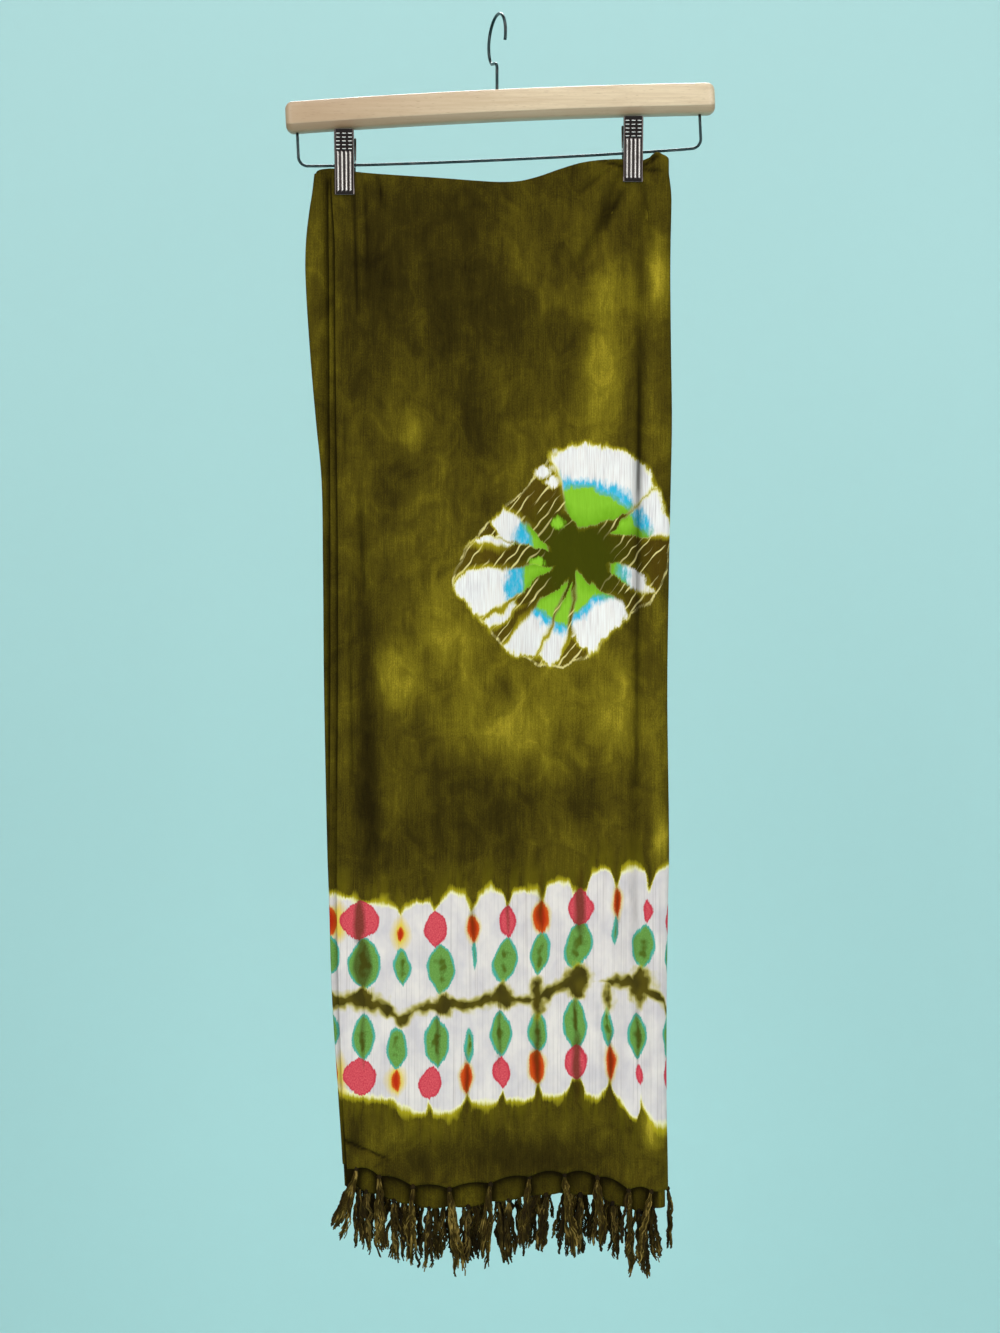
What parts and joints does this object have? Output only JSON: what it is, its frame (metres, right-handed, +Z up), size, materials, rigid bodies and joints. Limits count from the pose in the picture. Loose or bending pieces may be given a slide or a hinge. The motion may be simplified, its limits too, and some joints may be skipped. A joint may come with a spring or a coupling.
{
  "type": "sarong on a clip hanger",
  "caption": "Fringed, resist-dyed sarong folded into a long flat panel and held at its top edge by the spring clips of a wooden bar hanger.",
  "frame": {"origin": "the underside of the hook's top, where it rests on a rail", "axes": "+Z up along the hanging cloth, +X to the viewer's right along the hanger, +Y away from the viewer through the cloth's layers"},
  "size_m": [0.3583, 0.041, 1.0605],
  "materials": {
    "cloth": "soft plain-woven rayon, resist dyed",
    "fringe": "loose twisted yarn",
    "bar": "pale satin-varnished hardwood",
    "steel": "bright plated wire",
    "clip": "bright plated pressed steel"
  },
  "bodies": {
    "root": {"cloth_outer": "cloth", "cloth_inner": "cloth", "fringe_front_end": "fringe", "fringe_under_end": "fringe", "hanger_bar": "bar", "hook": "steel", "swing_wire": "steel", "clip_left_front": "clip", "clip_left_back": "clip", "clip_left_spring": "clip", "clip_right_front": "clip", "clip_right_back": "clip", "clip_right_spring": "clip"}
  },
  "joints": []
}
